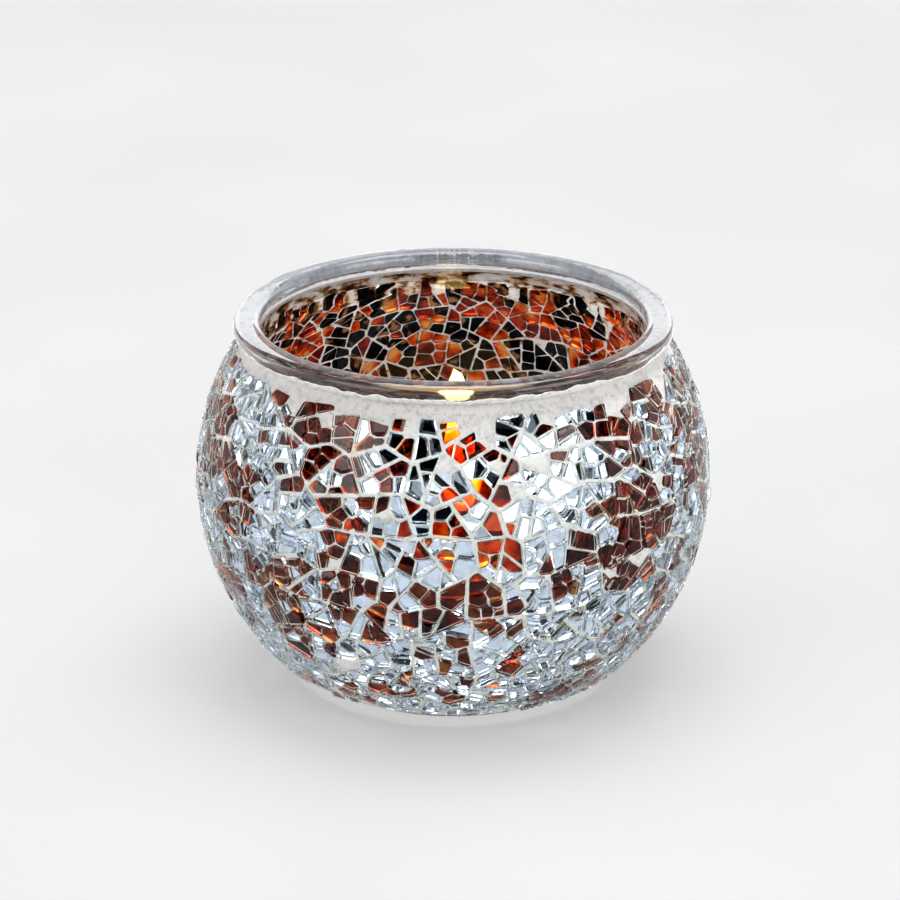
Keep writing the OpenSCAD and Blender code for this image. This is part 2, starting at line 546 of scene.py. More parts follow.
def paraffin(name, colour_low, colour_high, roughness):
    """Paraffin wax, poured: waxy, lets light in a few millimetres; melted, it is glossy."""
    material, tree, place = new_material(name)
    cloud = add_node(
        tree,
        "ShaderNodeTexNoise",
        inputs={"Vector": place, "Scale": grain(100 / 14), "Detail": 3.0},
    )
    colour = add_node(
        tree,
        "ShaderNodeValToRGB",
        inputs={"Fac": cloud.outputs["Fac"]},
        stops=[(0.35, colour_low), (0.65, colour_high)],
    )
    wax = add_node(
        tree,
        "ShaderNodeBsdfPrincipled",
        inputs={
            "Base Color": colour.outputs[0],
            "Roughness": roughness,
            "IOR": 1.44,
            "Subsurface Weight": 0.6,
            "Subsurface Radius": (4 * MM, 3 * MM, 2 * MM),
            "Subsurface Scale": 1.0,
        },
    )
    finish_material(tree, wax.outputs[0])
    return material


def cotton_wick():
    """Cotton, braided and waxed: cream low down, charred black where it burns."""
    material, tree, place = new_material("Braided cotton, charred")
    height = add_node(tree, "ShaderNodeSeparateXYZ", inputs={"Vector": place})
    char = add_node(
        tree,
        "ShaderNodeMapRange",
        inputs={
            "Value": height.outputs["Z"],
            "From Min": SIZE["wax_top"],
            "From Max": SIZE["wax_top"] + 3 * MM,
        },
    )
    colour = add_node(
        tree,
        "ShaderNodeValToRGB",
        inputs={"Fac": char.outputs[0]},
        stops=[(0.0, "#cbb994"), (0.4, "#3a2a20"), (1.0, "#120d0c")],
    )
    thread = add_node(
        tree, "ShaderNodeBsdfPrincipled", inputs={"Base Color": colour.outputs[0], "Roughness": 0.8}
    )
    finish_material(tree, thread.outputs[0])
    return material


def tinned_steel():
    """Tinned steel, stamped: grey, softly bright, finely spangled."""
    material, tree, place = new_material("Stamped tinned steel")
    spangle = add_node(
        tree, "ShaderNodeTexVoronoi", inputs={"Vector": place, "Scale": grain(10 / 9)}
    )
    shine = add_node(
        tree,
        "ShaderNodeMapRange",
        inputs={"Value": spangle.outputs["Distance"], "To Min": 0.25, "To Max": 0.45},
    )
    metal = add_node(
        tree,
        "ShaderNodeBsdfPrincipled",
        inputs={
            "Base Color": linear("#b4b3ae"),
            "Metallic": 1.0,
            "Roughness": shine.outputs[0],
        },
    )
    finish_material(tree, metal.outputs[0])
    return material


def burning_gas(look, low, high):
    """Candle flame: clear blue low down, white yellow in the middle, orange at the tip."""
    material, tree, place = new_material("Candle flame")
    height = add_node(tree, "ShaderNodeSeparateXYZ", inputs={"Vector": place})
    share = add_node(
        tree,
        "ShaderNodeMapRange",
        inputs={"Value": height.outputs["Z"], "From Min": low, "From Max": high},
    )
    colour = add_node(
        tree,
        "ShaderNodeValToRGB",
        inputs={"Fac": share.outputs[0]},
        stops=[
            (0.0, "#3050a0"),
            (0.16, "#ff9a30"),
            (0.4, "#ffe08a"),
            (0.8, "#ffdc90"),
            (1.0, "#ffe2a8"),
        ],
    )
    heat = add_node(
        tree,
        "ShaderNodeMapRange",
        inputs={
            "Value": share.outputs[0],
            "From Min": 0.45,
            "From Max": 0.9,
            "To Min": look.flame_strength,
            "To Max": look.flame_strength * 0.25,
        },
    )
    glow = add_node(
        tree, "ShaderNodeEmission", inputs={"Color": colour.outputs[0], "Strength": heat.outputs[0]}
    )
    finish_material(tree, glow.outputs[0])
    return material


def matt_paper(look):
    """Studio paper, grey, matt and faintly mottled; a lamp of its own lights it to white."""
    material, tree, place = new_material("Matt studio paper")
    fibre = add_node(
        tree, "ShaderNodeTexNoise", inputs={"Vector": place, "Scale": grain(125), "Detail": 2.0}
    )
    colour = add_node(
        tree,
        "ShaderNodeValToRGB",
        inputs={"Fac": fibre.outputs["Fac"]},
        stops=[(0.3, look.floor_colour), (0.7, "#616161")],
    )
    paper = add_node(
        tree,
        "ShaderNodeBsdfPrincipled",
        inputs={"Base Color": colour.outputs[0], "Roughness": 0.95, "Specular IOR Level": 0.0},
    )
    finish_material(tree, paper.outputs[0])
    return material


def studio_daylight(look):
    """A white studio: brightest low down, dark high behind the viewer, with gaps in its screens."""
    world = bpy.data.worlds.new("Studio")
    world.use_nodes = True
    tree = world.node_tree
    tree.nodes.clear()
    way = add_node(tree, "ShaderNodeTexCoord").outputs["Generated"]
    parts = add_node(tree, "ShaderNodeSeparateXYZ", inputs={"Vector": way})
    height = add_node(
        tree,
        "ShaderNodeValToRGB",
        inputs={"Fac": parts.outputs["Z"]},
        stops=[(0.0, "#f0f0f0"), (0.22, "#e6e7e8"), (0.45, "#b6b8bc"), (1.0, "#a4a6aa")],
    )
    front = add_node(
        tree,
        "ShaderNodeMapRange",
        inputs={"Value": parts.outputs["Y"], "From Min": -0.6, "From Max": -0.15},
    )
    room = add_node(
        tree,
        "ShaderNodeValToRGB",
        inputs={"Fac": front.outputs[0]},
        stops=[(0.0, "#0c0d10"), (1.0, "#ffffff")],
    )
    above = add_node(
        tree,
        "ShaderNodeMapRange",
        inputs={"Value": parts.outputs["Z"], "From Min": 0.18, "From Max": 0.32},
    )
    shade = add_node(
        tree,
        "ShaderNodeMix",
        {"data_type": "RGBA", "blend_type": "MULTIPLY"},
        {"Factor": above.outputs[0], 6: height.outputs[0], 7: room.outputs[0]},
    )
    screens = add_node(
        tree, "ShaderNodeTexNoise", inputs={"Vector": way, "Scale": 2.6, "Detail": 1.0}
    )
    gaps = add_node(
        tree,
        "ShaderNodeValToRGB",
        inputs={"Fac": screens.outputs["Fac"]},
        stops=[(0.45, "#0f1115"), (0.5, "#ffffff")],
    )
    ahead = add_node(
        tree,
        "ShaderNodeMapRange",
        inputs={
            "Value": parts.outputs["Y"],
            "From Min": -0.1,
            "From Max": 0.35,
            "To Min": 1.0,
            "To Max": 0.0,
        },
    )
    patched = add_node(
        tree,
        "ShaderNodeMix",
        {"data_type": "RGBA", "blend_type": "MULTIPLY"},
        {"Factor": ahead.outputs[0], 6: shade.outputs[2], 7: gaps.outputs[0]},
    )
    back = add_node(
        tree, "ShaderNodeBackground", inputs={"Color": patched.outputs[2], "Strength": look.sky}
    )
    add_node(tree, "ShaderNodeOutputWorld", inputs={"Surface": back.outputs[0]})
    return world


# ---- flat outlines, as lists of (x, y) Vectors listed anticlockwise ----


def outline_area(outline):
    """Area of an outline, above zero when it runs anticlockwise."""
    return sum(a.cross(b) for a, b in zip(outline, outline[1:] + outline[:1])) / 2


def outline_middle(outline):
    """The mean of an outline's corners."""
    return sum(outline, Vector((0, 0))) / len(outline)


def cut_outline(outline, point, normal):
    """The part of a convex outline on the normal's side of a line."""
    kept = []
    for a, b in zip(outline, outline[1:] + outline[:1]):
        side_a, side_b = (a - point).dot(normal), (b - point).dot(normal)
        if side_a >= 0:
            kept.append(a)
        if side_a * side_b < 0:
            kept.append(a.lerp(b, side_a / (side_a - side_b)))
    return kept


def inset_outline(outline, *gaps):
    """A convex outline with its edges moved in by one gap, or one each; below zero is out."""
    middle = outline_middle(outline)
    reach = 2 * max((p - middle).length for p in outline)
    kept = [middle + Vector(c) * reach for c in ((-1, -1), (1, -1), (1, 1), (-1, 1))]
    for i, (a, b) in enumerate(zip(outline, outline[1:] + outline[:1])):
        edge = b - a
        gap = gaps[i % len(gaps)]
        if edge.length > 1e-7:
            normal = Vector((-edge.y, edge.x)).normalized()
            kept = cut_outline(kept, a + normal * gap, normal)
    return kept


def cells(outline, points):
    """The share of a convex outline that lies nearest to each point."""
    for point in points:
        piece = outline
        for other in points:
            if other is not point:
                piece = cut_outline(piece, (point + other) / 2, (point - other).normalized())
        yield piece


def crazed(outline, rng, target):
    """A convex outline crazed into compact pieces of about one area."""
    count = max(1, round(outline_area(outline) / target))
    if count == 1:
        return [outline]
    corner = [min(p[i] for p in outline) for i in (0, 1)]
    reach = [max(p[i] for p in outline) - corner[i] for i in (0, 1)]
    points = []
    while len(points) < count:
        point = Vector([corner[i] + rng.random() * reach[i] for i in (0, 1)])
        edges = zip(outline, outline[1:] + outline[:1])
        if all((b - a).cross(point - a) > 0 for a, b in edges):
            points.append(point)
    for _ in range(2):
        points = [outline_middle(piece) for piece in cells(outline, points) if len(piece) > 2]
    return [piece for piece in cells(outline, points) if len(piece) > 2]


def blunted(outline, rng):
    """A convex outline with its corners chipped off."""
    kept = outline
    middle = outline_middle(outline)
    for corner in outline:
        inward = (middle - corner).normalized()
        kept = cut_outline(kept, corner + inward * rng.uniform(0.06, 0.2) * MM, inward)
    return kept


# ---- convex solids, as lists of (slot, corners) faces ----


def cut_solid(faces, point, normal, slot):
    """Cuts the part of a convex solid beyond a plane away, and closes it with a face."""
    kept, rim = [], []
    for face_slot, corners in faces:
        sides = [(c - point).dot(normal) for c in corners]
        new = []
        for i, corner in enumerate(corners):
            j = (i + 1) % len(corners)
            if sides[i] <= 0:
                new.append(corner)
            if sides[i] * sides[j] < 0:
                new.append(corner.lerp(corners[j], sides[i] / (sides[i] - sides[j])))
                rim.append(new[-1])
        if len(new) > 2:
            kept.append((face_slot, new))
    closing = []
    for corner in rim:
        if all((corner - other).length > 1e-7 for other in closing):
            closing.append(corner)
    if len(closing) > 2:
        middle = sum(closing, Vector()) / len(closing)
        across = (closing[0] - middle).normalized()
        along = normal.cross(across)
        closing.sort(key=lambda c: math.atan2((c - middle).dot(along), (c - middle).dot(across)))
        kept.append((slot, closing))
    return kept


def prism(outline, low, high, slots):
    """A straight solid on an outline, with the slots of its bottom, top and sides."""
    bottom = [Vector((p.x, p.y, low)) for p in outline]
    top = [Vector((p.x, p.y, high)) for p in outline]
    faces = [(slots[0], bottom[::-1]), (slots[1], top)]
    for i in range(len(outline)):
        j = (i + 1) % len(outline)
        faces.append((slots[2], [bottom[i], bottom[j], top[j], top[i]]))
    return faces


POLISHED, BROKEN, SILVER, PAINT, LACQUER, GLUED = range(6)
CHIPPED_ABOVE = {PAINT: 0.5, LACQUER: 0.25}  # share of the edges
CHIPPED_BELOW = {PAINT: 0.3, LACQUER: 0.1}
LEAN = {PAINT: 0.045, LACQUER: 0.015}  # usual tilt of a splinter, in radians
SHEET_LAP = 0.05  # how far a coat's sheet passes the glass, in millimetres
SHEET_TOP, SHEET_BOTTOM = 0.01, 0.035  # below the glass, in millimetres


def tilted(x, y, slope):
    """The upward direction, tilted by a slope toward a level direction."""
    return Vector((x * math.sin(slope), y * math.sin(slope), math.cos(slope)))


def mirror_shard(outline, depth, rng, coat):
    """One splinter of mirror glass: a chipped clear solid over its silver or lacquer coat."""
    back = SILVER if coat == PAINT else GLUED
    faces = prism(outline, -depth, 0.0, (back, POLISHED, BROKEN))
    span = math.sqrt(outline_area(outline))
    for a, b in zip(outline, outline[1:] + outline[:1]):
        edge = b - a
        if edge.length < 0.6 * MM:
            continue
        out = Vector((edge.y, -edge.x)).normalized()
        middle = (a + b) / 2
        if rng.random() < CHIPPED_ABOVE[coat]:
            slope = math.radians(rng.uniform(18, 58))
            fall = rng.uniform(0.05, 0.4) * MM
            normal = tilted(out.x, out.y, slope)
            faces = cut_solid(faces, Vector((middle.x, middle.y, -fall)), normal, BROKEN)
        if rng.random() < CHIPPED_BELOW[coat]:
            slope = math.radians(rng.uniform(35, 75))
            rise = rng.uniform(0.1, 0.4) * depth
            normal = tilted(out.x, out.y, slope)
            normal.z = -normal.z
            faces = cut_solid(faces, Vector((middle.x, middle.y, rise - depth)), normal, BROKEN)
    for _ in range(rng.choice((0, 1, 1)) if coat == PAINT else 0):
        angle = rng.uniform(0, math.tau)
        slope = math.radians(rng.uniform(3, 14))
        normal = tilted(math.cos(angle), math.sin(angle), slope)
        middle = outline_middle(outline)
        reach = span * rng.uniform(0.0, 0.3)
        point = Vector((middle.x + math.cos(angle) * reach, middle.y + math.sin(angle) * reach, 0))
        faces = cut_solid(faces, point, normal, BROKEN if rng.random() < 0.4 else POLISHED)
    sheet = inset_outline(outline, -SHEET_LAP * MM)
    return faces + prism(sheet, -depth - SHEET_BOTTOM * MM, -depth - SHEET_TOP * MM, (coat,) * 3)


# ---- properties ----


class BowlLook(bpy.types.PropertyGroup):
    """Unevenness and tints of the bowl and its grout."""

    waviness: bpy.props.FloatProperty(
        name="Waviness",
        description="How far the pressed glass strays from round",
        default=0.05 * MM,
        unit="LENGTH",
    )
    grout_relief: bpy.props.FloatProperty(
        name="Grout relief",
        description="Height of the lumps in the grout",
        default=0.08 * MM,
        unit="LENGTH",
    )
    bowl_colour: bpy.props.StringProperty(
        name="Glass tint", description="Tint of the bowl's glass", default="#f3f5f6"
    )
    # painted shade: the rim's glass is tinted a much darker grey than the bowl's same glass,
    # standing in for the dark room it mirrors
    rim_shaded_tint: bpy.props.StringProperty(
        name="Rim tint",
        description="Tint of the glass as seen through the thick rim",
        default="#b4b8bd",
    )
    grout_colour: bpy.props.StringProperty(
        name="Grout", description="Colour of the grout", default="#d9d7d5"
    )


class MosaicLook(bpy.types.PropertyGroup):
    """How the mirror pieces are broken and coated."""

    splinter: bpy.props.FloatProperty(
        name="Splinter area",
        description="Usual area of one splinter, in square millimetres",
        default=5.0,
    )
    joint: bpy.props.FloatProperty(
        name="Joint",
        description="Width of the grout line that is left between two mirror pieces",
        default=0.27 * MM,
        unit="LENGTH",
    )
    lacquered: bpy.props.FloatProperty(
        name="Lacquered share",
        description="Share of the splinters that have lacquer and no silver",
        default=0.39,
        subtype="FACTOR",
    )
    silver_colour: bpy.props.StringProperty(
        name="Silver", description="Colour of the silver coating", default="#e4eefd"
    )
    lacquer_colour: bpy.props.StringProperty(
        name="Lacquer", description="Colour that light takes in the lacquer", default="#aa604b"
    )
    seed: bpy.props.IntProperty(
        name="Seed", description="Seed of the splinters' shapes", default=5
    )


class TealightLook(bpy.types.PropertyGroup):
    """The tealight's flame."""

    flame_height: bpy.props.FloatProperty(
        name="Flame height",
        description="Height of the flame above the wick's tip",
        default=21 * MM,
        unit="LENGTH",
    )
    flame_strength: bpy.props.FloatProperty(
        name="Flame strength", description="Brightness of the flame", default=7.0
    )
    flame_light: bpy.props.FloatProperty(
        name="Flame light", description="Power of the flame's light", default=0.09, unit="POWER"
    )


class StageLook(bpy.types.PropertyGroup):
    """Camera, floor and lights."""

    distance: bpy.props.FloatProperty(
        name="Camera distance",
        description="Distance from the camera to the holder",
        default=0.6,
        unit="LENGTH",
    )
    elevation: bpy.props.FloatProperty(
        name="Camera elevation",
        description="Height of the camera above the horizon",
        default=math.radians(20.96),
        subtype="ANGLE",
    )
    lens: bpy.props.FloatProperty(
        name="Lens", description="Focal length in millimetres", default=155.6
    )
    floor_colour: bpy.props.StringProperty(
        name="Floor", description="Colour of the floor", default="#5e5e5e"
    )
    floor_wash: bpy.props.FloatProperty(
        name="Floor wash",
        description="Power of the lamp that lights the floor alone",
        default=262.0,
        unit="POWER",
    )
    sky: bpy.props.FloatProperty(
        name="Sky", description="Strength of the light from all round", default=1.3
    )


# ---- operators ----


class HOLDER_OT_bowl(bpy.types.Operator):
    """Builds the pressed glass bowl"""

    bl_idname = "holder.bowl"
    bl_label = "Glass bowl"

    def execute(self, context):
        look = context.scene.holder_bowl
        s = SIZE
        heel_round = (s["glass"] ** 2 - s["heel"] ** 2 - s["centre"] ** 2) / (
            2 * (s["glass"] - s["centre"])
        )
        middle = (0.0, s["centre"])
        heel_angle = math.degrees(math.atan2(heel_round - s["centre"], s["heel"]))
        neck_angle = math.degrees(math.acos(s["neck"] / s["glass"]))
        edge, hollow = RIM_EDGE, 0.45 * MM
        # the underside, hollowed a little inside its standing ring
        path = [(0.0, hollow), (s["heel"] * 0.72, hollow), (s["heel"] * 0.82, 0.0)]
        path = softened(path + [(s["heel"], 0.0)], 1, 2 * MM)
        path = softened(path, len(path) - 2, 1 * MM)
        path += arc((s["heel"], heel_round), heel_round, -90, heel_angle, 8)[1:]
        path += arc(middle, s["glass"], heel_angle, neck_angle, 60)[1:]
        path += [(s["neck"], s["rim_bottom"] - 0.1 * MM)]
        rim_start = len(path)
        low_out = (s["rim"] - edge, s["rim_bottom"] + edge)
        high_out = (s["rim"] - edge, s["top"] - edge)
        high_in = (s["mouth"] + edge, s["top"] - edge)
        path += arc(low_out, edge, -90, 0, 8)
        path += arc(high_out, edge, 0, 90, 8)
        path += arc(high_in, edge, 90, 180, 8)
        rim_end = len(path)
        meet = math.degrees(math.acos(s["mouth"] / s["cavity"]))
        meet_z = s["centre"] + s["cavity"] * math.sin(math.radians(meet))
        floor_angle = math.degrees(math.asin((s["floor"] - s["centre"]) / s["cavity"]))
        path += [(s["mouth"], meet_z + 1.5 * MM)]
        shoulder = len(path)
        path += arc(middle, s["cavity"], meet, floor_angle, 60)
        path = softened(path, shoulder, 1.2 * MM)
        path += [(s["cavity"] * math.cos(math.radians(floor_angle)) * 0.8, s["floor"])]
        path = softened(path, len(path) - 2, 1.5 * MM)
        path += [(0.0, s["floor"])]

        def sway(point, k):
            out = Vector((point.x, point.y, 0)).normalized()
            return out * noise.noise(point * 60) * look.waviness

        def finish(k):
            """1 for the outer face's band under the cladding, 2 for the rim, 0 for the rest."""
            if rim_start <= k < rim_end:
                return 2
            lowest = min(path[k][1], path[k + 1][1])
            return int(k < rim_start and lowest >= s["clad_bottom"] - 0.5 * MM)

        materials = [
            pressed_soda_glass("Soda-lime glass, pressed", look.bowl_colour, (1, 1, 1), 0.06, 0.0),
            glued_glass_face(look),
            # the rim's copy of the glass carries painted shade in its darker grey tint
            pressed_soda_glass(
                "Soda-lime glass, fire polished, painted shade", look.rim_shaded_tint, (3, 3, 0.6), 0.08, 0.07
            ),
        ]
        bowl = lathe("Glass_bowl", path, 256, materials, finish, sway, smooth_angle=60)
        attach(bowl, "holder")
        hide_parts("glass_bowl")
        return {"FINISHED"}


def row_outlines(name, middle):
    """The outer faces of a row's mirror pieces: each a centre, an outward normal and corners."""
    bm = bmesh.new()
    bm.from_mesh(NODES[name].data)
    bmesh.ops.remove_doubles(bm, verts=bm.verts, dist=1e-6)
    bmesh.ops.dissolve_limit(bm, angle_limit=math.radians(1), verts=bm.verts, edges=bm.edges)
    found = []
    for face in bm.faces:
        centre = face.calc_center_median()
        if face.normal.dot((centre - middle).normalized()) > 0.9:
            found.append((centre.copy(), face.normal.copy(), [v.co.copy() for v in face.verts]))
    bm.free()
    found.sort(key=lambda f: (round(math.atan2(f[0].y, f[0].x), 3), round(f[0].z, 6)))
    return found


def local_axes(normal):
    """Level and upward directions on a face of the globe."""
    across = Vector((0, 0, 1)).cross(normal).normalized()
    return across, normal.cross(across)


def mosaic_walls():
    """A tree of every mirror piece's faces, to measure the joints between pieces."""
    vertices, faces = [], []
    for name in MIRROR_ROWS:
        mesh = NODES[name].data
        faces += [[len(vertices) + v for v in p.vertices] for p in mesh.polygons]
        vertices += [v.co.copy() for v in mesh.vertices]
    return BVHTree.FromPolygons(vertices, faces)


def joint_shares(walls, normal, corners, joint):
    """How far each edge of a piece may grow for a joint of the given width to stay."""
    below, off, reach, open_joint = 0.4, 0.02, 1.6, 0.6  # in millimetres
    shares = []
    for a, b in zip(corners, corners[1:] + corners[:1]):
        out = (b - a).cross(normal).normalized()
        room = []
        for t in (0.12, 0.5, 0.88):
            start = a.lerp(b, t) - normal * below * MM + out * off * MM
            distance = walls.ray_cast(start, out, reach * MM)[3]
            room.append(distance + off * MM if distance else open_joint * MM)
        shares.append(max(0.0, (min(room) - joint) / 2))
    return shares


def splinter_coat(look, centre, normal, rng):
    """Lacquer, in patches over the globe, or silver under its backing paint."""
    patch = noise.noise(centre * 130) + rng.uniform(-0.5, 0.5) + 0.34 * normal.z
    return LACQUER if patch > 0.5 - look.lacquered else PAINT


def splinters(look):
    """Every splinter: its row, place, normal, two axes, outline, coat and random numbers."""
    sunk, top_band, least_area = 0.15, 2.6, 0.5  # in millimetres
    lost_at_top, lost_elsewhere, ungrown = 0.25, 0.03, 0.03
    middle = Vector((0, 0, SIZE["centre"]))
    walls = mosaic_walls()
    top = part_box(MIRROR_ROWS[-1])[1].z
    made = []
    for row in MIRROR_ROWS:
        for index, (centre, normal, corners) in enumerate(row_outlines(row, middle)):
            rng = random.Random(f"{look.seed} {row} {index}")
            across, along = local_axes(normal)
            flat = [Vector(((c - centre).dot(across), (c - centre).dot(along))) for c in corners]
            shares = joint_shares(walls, normal, corners, look.joint)
            grown = [-share if rng.random() > ungrown else 0.0 for share in shares]
            flat = inset_outline(flat, *grown)
            pieces = crazed(flat, rng, look.splinter * MM * MM)
            for piece in pieces:
                gap = rng.uniform(0.08, 0.17) * MM if len(pieces) > 1 else 0.0
                piece = inset_outline(piece, gap)
                at_top = len(piece) > 2 and (
                    centre.z + along.z * outline_middle(piece).y > top - top_band * MM
                )
                chance = lost_at_top if at_top else lost_elsewhere
                lost = len(pieces) > 1 and rng.random() < chance
                if lost or len(piece) < 3 or outline_area(piece) < least_area * MM * MM:
                    continue
                piece = blunted(piece, rng)
                coat = splinter_coat(look, centre, normal, rng)
                spot = outline_middle(piece)
                piece = [p - spot for p in piece]
                lean = LEAN[coat]
                up = normal + across * rng.gauss(0, lean) + along * rng.gauss(0, lean)
                up.normalize()
                side = (across - up * across.dot(up)).normalized()
                place = centre + across * spot.x + along * spot.y - normal * sunk * MM
                made.append((row, place, up, side, up.cross(side), piece, coat, rng))
    return made


class HOLDER_OT_mosaic(bpy.types.Operator):
    """Breaks the mirror pieces into splinters"""

    bl_idname = "holder.mosaic"
    bl_label = "Mirror pieces"

    def execute(self, context):
        look = context.scene.holder_mosaic
        sizes = context.scene.holder_bowl
        materials = [
            float_glass("Float glass, polished face", False),
            float_glass("Float glass, broken face", True),
            silvering(look),
            backing_paint(),
            red_lacquer(look),
            glued_glass_face(sizes),
        ]
        middle = Vector((0, 0, SIZE["centre"]))
        coat_gap = 0.1 * MM  # from the bowl's glass to a splinter's back
        rows = {name: ([], [], []) for name in MIRROR_ROWS}
        for row, centre, normal, across, along, outline, coat, rng in splinters(look):
            depth = (centre - middle).length - SIZE["glass"] - coat_gap
            vertices, faces, slots = rows[row]
            for slot, corners in mirror_shard(outline, depth, rng, coat):
                start = len(vertices)
                vertices += [centre + across * c.x + along * c.y + normal * c.z for c in corners]
                faces.append(list(range(start, len(vertices))))
                slots.append(slot)
        for row, (vertices, faces, slots) in rows.items():
            piece = new_object(row.capitalize(), vertices, faces, materials, slots)
            bm = bmesh.new()
            bm.from_mesh(piece.data)
            bmesh.ops.remove_doubles(bm, verts=bm.verts, dist=1e-6)
            bm.to_mesh(piece.data)
            bm.free()
            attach(piece, "holder")
            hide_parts(row)
        return {"FINISHED"}


def add_lip(vertices, faces, slots):
    """Adds the ragged lip of grout wiped up under the rim, a closed ring that follows the glass."""
    bottom, edge = SIZE["rim_bottom"], RIM_EDGE
    middle = (SIZE["rim"] - edge, bottom + edge)
    outer = SIZE["grout"] + 0.1 * MM
    foot, least, skin = -62, -56, 0.02 * MM  # angles on the rim's edge, and a gap off it
    segments, start = 512, len(vertices)

    def on_rim(angle, gap):
        """A point a gap off the rim's round lower edge, or above it on the rim's straight side."""
        if angle <= 0:
            return arc(middle, edge + gap, angle, angle, 1)[0]
        return (SIZE["rim"] + gap, middle[1] + edge * math.radians(angle))

    for i in range(segments):
        a = math.tau * i / segments
        around = Vector((math.cos(a), math.sin(a), 0.3))
        lap = noise.noise(around * 2.5) * 50 + noise.noise(around * 14) * 24
        reach = max(least, -16 + lap + noise.noise(around * 60) * 8)
        swell = (0.16 + 0.08 * noise.noise(around * 40)) * MM
        low = bottom - 0.5 * MM
        skirt = math.sqrt(outer**2 - (low - SIZE["centre"]) ** 2)
        ring = [(skirt - 0.9 * MM, low), (skirt - 0.12 * MM, low)]
        ring += [(skirt - 0.1 * MM + swell, bottom - 0.1 * MM)]
        ring += [on_rim(foot + (reach - foot) * t / 4, swell) for t in (1, 2, 3, 4)]
        ring += [on_rim(reach + 4, skin)]
        ring += [on_rim(reach + (-90 - reach) * t / 5, skin) for t in range(6)]
        ring += [(skirt - 0.9 * MM, bottom - 0.02 * MM)]
        vertices += [Vector((r * math.cos(a), r * math.sin(a), z)) for r, z in ring]
    count = len(ring)
    for i in range(segments):
        j = (i + 1) % segments
        for k in range(count):
            n = (k + 1) % count
            quad = [(i, k), (j, k), (j, n), (i, n)]
            faces.append([start + m * count + c for m, c in quad])
            slots.append(0)


def drawn_flat(direction):
    """A direction from the globe's middle, drawn on a plane in a way that keeps circles round."""
    return Vector((direction.x, direction.y)) / (1 + direction.z)


def lifted(point):
    """The direction that a point of the flat drawing stands for."""
    square = point.length_squared
    return Vector((2 * point.x, 2 * point.y, 1 - square)) / (1 + square)


def direction_at(turn, height):
    """The direction at an angle round the globe and an angle above its widest part."""
    level = math.cos(height)
    return Vector((level * math.cos(turn), level * math.sin(turn), math.sin(height)))


def grout_net(every, relief):
    """The net of grout, a shell with a hole for every splinter, and the lip under the rim."""
    middle = Vector((0, 0, SIZE["centre"]))
    outer, inner = SIZE["grout"] + 0.22 * MM, SIZE["glass"] + 0.32 * MM

    points, holes = [], []
    for _, centre, _, across, along, outline, _, _ in every:
        hole = []
        for corner in outline:
            direction = (centre + across * corner.x + along * corner.y - middle).normalized()
            hole.append(len(points))
            points.append(drawn_flat(direction))
        holes.append(hole)

    # the ragged lower edge and the even upper one
    low = math.asin((SIZE["clad_bottom"] - SIZE["centre"]) / outer)
    high = math.asin((SIZE["rim_bottom"] - SIZE["centre"]) / outer) - 0.001
    loops, loop_points = [], 480
    for edge, raggedness in ((low, 0.010), (high, 0.0)):
        loop = []
        for i in range(loop_points):
            turn = math.tau * i / loop_points
            wave = abs(noise.noise(Vector((math.cos(turn), math.sin(turn), edge)) * 6))
            loop.append(len(points))
            points.append(drawn_flat(direction_at(turn, edge + wave * raggedness)))
        loops.append(loop)

    # points between the splinters, on which the grout's relief is laid
    rng = random.Random(7)
    step = 0.55 * MM / outer
    jitter = 0.3
    for j in range(int((high - low) / step)):
        level = low + (j + 0.5) * step
        count = int(math.tau * math.cos(level) / step)
        for i in range(count):
            turn = math.tau * (i + rng.uniform(-jitter, jitter)) / count
            height = level + rng.uniform(-jitter, jitter) * step
            if low + 0.4 * step < height < high - 0.4 * step:
                points.append(drawn_flat(direction_at(turn, height)))

    out = geometry.delaunay_2d_cdt(points, [], loops + holes, 0, 1e-9, True)
    made_points, _, triangles, from_points, _, from_faces = out
    kept = [t for t, source in zip(triangles, from_faces) if list(source) == [0]]
    used = sorted({v for t in kept for v in t})
    number = {v: i for i, v in enumerate(used)}
    hole_points = range(holes[0][0], loops[0][0])
    vertices = []
    for v in used:
        direction = lifted(made_points[v])
        place = direction * outer
        lump = noise.noise(place * 900) + 0.6 * noise.noise(place * 2600)
        at_hole = any(p in hole_points for p in from_points[v])
        height = relief * (lump * 0.7 - (0.2 if at_hole else 0.0))
        vertices.append(middle + direction * (outer + height))
    top = len(vertices)
    vertices += [middle + lifted(made_points[v]) * inner for v in used]
    faces, slots, edges = [], [], {}
    for t in kept:
        ring = [number[v] for v in t]
        a, b, c = (vertices[i] for i in ring)
        if (b - a).cross(c - a).dot(a - middle) < 0:
            ring.reverse()
        faces.append(ring)
        faces.append([i + top for i in reversed(ring)])
        slots += [0, 1]
        for i in range(3):
            edges[(ring[i], ring[(i + 1) % 3])] = True
    for a, b in edges:
        if (b, a) not in edges:
            faces.append([b, a, a + top, b + top])
            slots.append(0)
    add_lip(vertices, faces, slots)
    return vertices, faces, slots


class HOLDER_OT_grout(bpy.types.Operator):
    """Lays the grout between the mirror pieces"""

    bl_idname = "holder.grout"
    bl_label = "Grout"

    def execute(self, context):
        sizes = context.scene.holder_bowl
        every = splinters(context.scene.holder_mosaic)
        vertices, faces, slots = grout_net(every, sizes.grout_relief)
        materials = [cement_grout(sizes), bedded_grout()]
        grout = new_object("Grout_net", vertices, faces, materials, slots, smooth_angle=50)
        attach(grout, "holder")
        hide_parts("grout")
        return {"FINISHED"}


